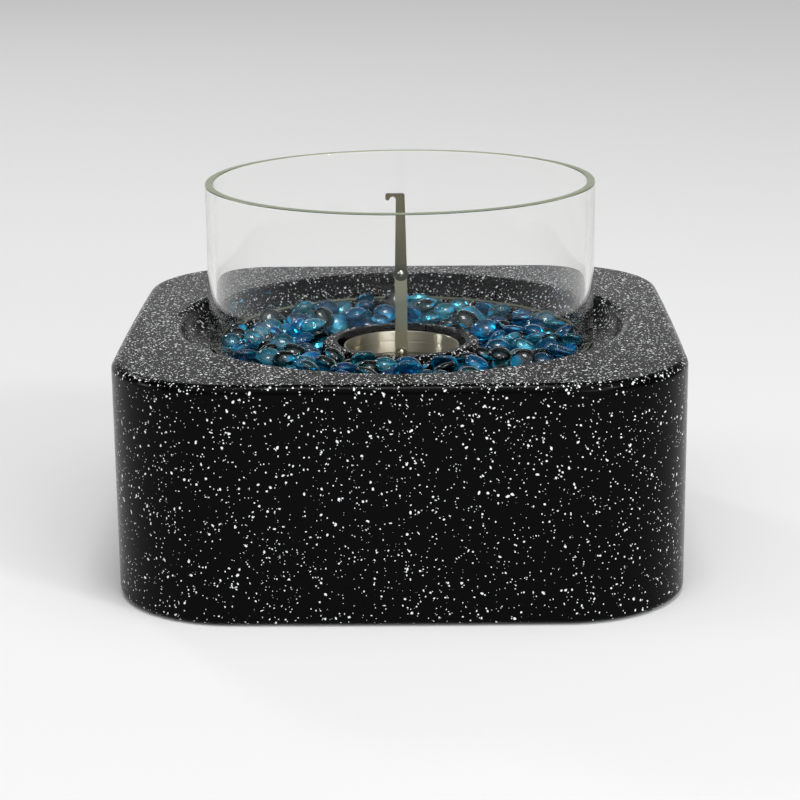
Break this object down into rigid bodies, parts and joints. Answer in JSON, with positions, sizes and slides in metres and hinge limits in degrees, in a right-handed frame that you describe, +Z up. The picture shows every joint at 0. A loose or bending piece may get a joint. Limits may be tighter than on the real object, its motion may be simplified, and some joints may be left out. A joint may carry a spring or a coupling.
{
  "type": "tabletop fire pit",
  "caption": "Square, round-cornered tabletop fire pit in speckled cast stone, with a glass guard, a bed of fire beads, and a canned-fuel burner with a folding snuffer.",
  "frame": {"origin": "on the table, under the middle of the body", "axes": "+Z up, +X to the right and +Y to the back, with the hook's opening towards -X"},
  "size_m": [0.3312, 0.3312, 0.2244],
  "materials": {
    "cast_stone": "satin, near black with small white flecks",
    "black_rubber": "matte",
    "clear_glass": "clear soda-lime glass, polished, with ground edges",
    "spun_stainless": "spun, satin",
    "tinplate": "bright tinplate",
    "fuel_gel": "wet, translucent gel",
    "brushed_stainless": "brushed lengthways",
    "rivet_steel": "bright plated",
    "cobalt_glass": "polished, deep blue",
    "aqua_glass": "polished, aqua blue",
    "teal_glass": "polished, dark teal"
  },
  "bodies": {
    "firepit": {"body_casting": "cast_stone", "foot_pad_1": "black_rubber", "foot_pad_2": "black_rubber", "foot_pad_3": "black_rubber", "foot_pad_4": "black_rubber", "beads_cobalt": "cobalt_glass", "beads_aqua": "aqua_glass", "beads_teal": "teal_glass"},
    "glass": {"glass_guard": "clear_glass"},
    "cup": {"burner_cup": "spun_stainless"},
    "can": {"fuel_can": "tinplate", "fuel_gel": "fuel_gel"},
    "snuffer": {"snuffer_cap": "brushed_stainless", "snuffer_bracket": "brushed_stainless", "bracket_rivet_front": "rivet_steel", "bracket_rivet_back": "rivet_steel", "foot_rivet": "rivet_steel", "foot_washer": "rivet_steel"},
    "lower_handle": {"lower_arm": "brushed_stainless", "middle_rivet": "rivet_steel", "middle_washer": "rivet_steel", "middle_spacer": "rivet_steel"},
    "upper_handle": {"upper_arm": "brushed_stainless"}
  },
  "joints": [
    {"name": "glass_lift", "type": "slide", "parent": "firepit", "child": "glass", "axis": [0, 0, 1], "range_m": [0, 0.1]},
    {"name": "cup_lift", "type": "slide", "parent": "firepit", "child": "cup", "axis": [0, 0, 1], "range_m": [0, 0.17]},
    {"name": "can_lift", "type": "slide", "parent": "cup", "child": "can", "axis": [0, 0, 1], "range_m": [0, 0.17]},
    {"name": "snuffer_lift", "type": "slide", "parent": "can", "child": "snuffer", "axis": [0, 0, 1], "range_m": [0, 0.12]},
    {"name": "handle_fold", "type": "hinge", "parent": "snuffer", "child": "lower_handle", "pos_m": [0, 0, 0.1176], "axis": [0, 1, 0], "range_deg": [-72, 20]},
    {"name": "hook_fold", "type": "hinge", "parent": "lower_handle", "child": "upper_handle", "pos_m": [0, 0, 0.167], "axis": [0, 1, 0], "range_deg": [-15, 160]}
  ]
}
